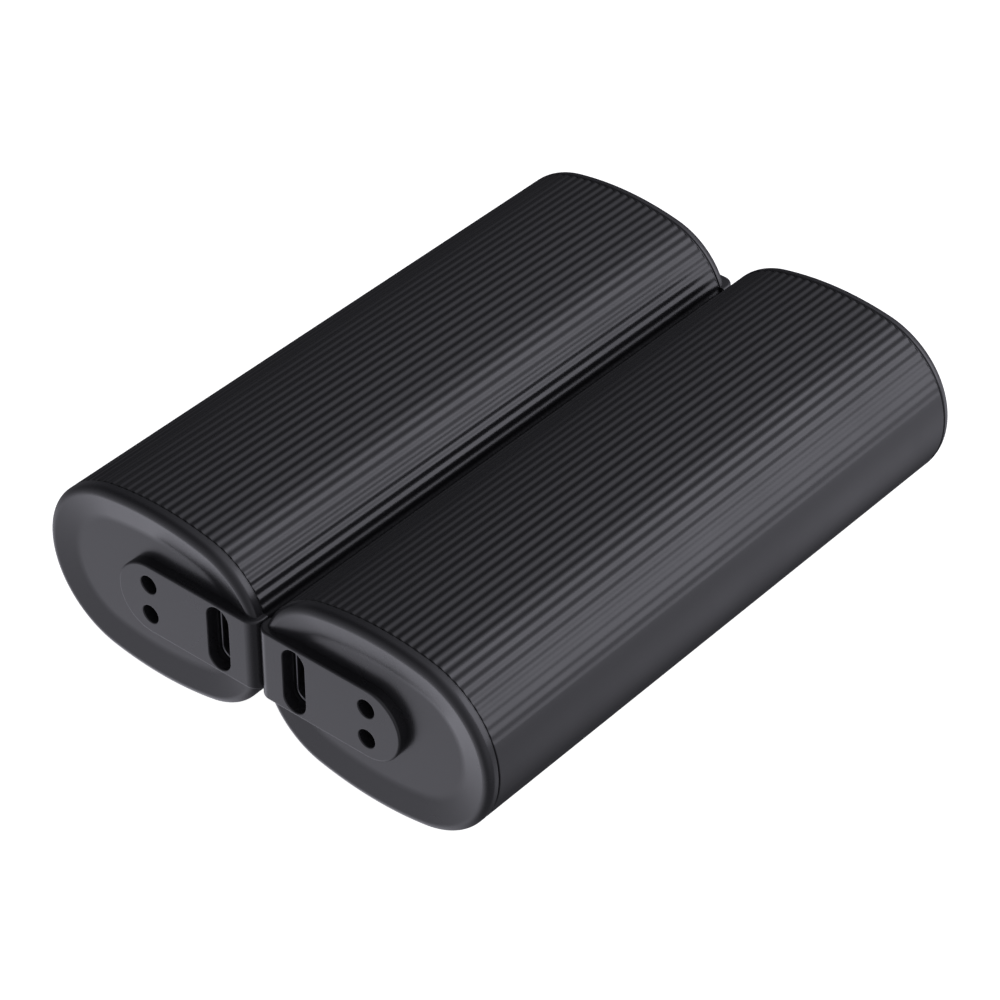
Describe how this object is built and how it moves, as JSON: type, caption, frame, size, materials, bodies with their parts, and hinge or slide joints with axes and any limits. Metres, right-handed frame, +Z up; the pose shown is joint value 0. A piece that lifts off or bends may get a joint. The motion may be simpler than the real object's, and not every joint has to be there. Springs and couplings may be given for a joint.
{
  "type": "rechargeable hand warmer",
  "caption": "Two-in-one rechargeable hand warmer: twin ribbed oval units held by magnets, with dished end caps, USB-C sockets, cord holes and push buttons.",
  "frame": {"origin": "middle of the pair, at the level of the lowest points of the sleeves", "axes": "+Z up, +Y along the units towards the button ends, +X across the pair"},
  "size_m": [0.0702, 0.0914, 0.0256],
  "materials": {
    "sleeve": "black anodised, satin, extruded ribs",
    "cap": "fine moulded texture, charcoal",
    "socket_steel": "drawn steel, dark in the mouth",
    "socket_plastic": "moulded, with plated contacts",
    "carrier": "plain moulded",
    "cell": "shrink-wrapped can",
    "tab": "nickel strip",
    "board": "green solder resist",
    "board_part": "moulded parts with tinned ends",
    "film": "amber film with printed tracks",
    "switch": "moulded switch case",
    "button": "fine moulded texture",
    "light_pipe": "frosted clear moulding",
    "lamp": "surface-mount lamp",
    "magnet": "nickel-plated block"
  },
  "bodies": {
    "left_unit": {"left_shell": "sleeve", "left_charge_cap": "cap", "left_switch_cap": "cap", "left_usb_shell": "socket_steel", "left_usb_tongue": "socket_plastic", "left_chassis_tray": "carrier", "left_chassis_cover": "carrier", "left_battery_cell": "cell", "left_cell_tabs": "tab", "left_main_board": "board", "left_board_parts": "board_part", "left_button_board": "board", "left_button_flex": "film", "left_tact_switch": "switch", "left_light_pipe": "light_pipe", "left_lamps": "lamp", "left_heat_sensor": "board_part", "left_magnets": "magnet", "left_upper_heater": "film", "left_lower_heater": "film"},
    "left_button": {"left_power_button": "button", "left_switch_stem": "switch"},
    "right_unit": {"right_shell": "sleeve", "right_charge_cap": "cap", "right_switch_cap": "cap", "right_usb_shell": "socket_steel", "right_usb_tongue": "socket_plastic", "right_chassis_tray": "carrier", "right_chassis_cover": "carrier", "right_battery_cell": "cell", "right_cell_tabs": "tab", "right_main_board": "board", "right_board_parts": "board_part", "right_button_board": "board", "right_button_flex": "film", "right_tact_switch": "switch", "right_light_pipe": "light_pipe", "right_lamps": "lamp", "right_heat_sensor": "board_part", "right_magnets": "magnet", "right_upper_heater": "film", "right_lower_heater": "film"},
    "right_button": {"right_power_button": "button", "right_switch_stem": "switch"}
  },
  "joints": [
    {"name": "units_apart", "type": "slide", "parent": "left_unit", "child": "right_unit", "axis": [1, 0, 0], "range_m": [0, 0.06]},
    {"name": "left_button_press", "type": "slide", "parent": "left_unit", "child": "left_button", "axis": [0, -1, 0], "range_m": [0, 0.0005], "stiffness_N_per_m": 2500, "springref_m": -0.0002},
    {"name": "right_button_press", "type": "slide", "parent": "right_unit", "child": "right_button", "axis": [0, -1, 0], "range_m": [0, 0.0005], "stiffness_N_per_m": 2500, "springref_m": -0.0002}
  ]
}
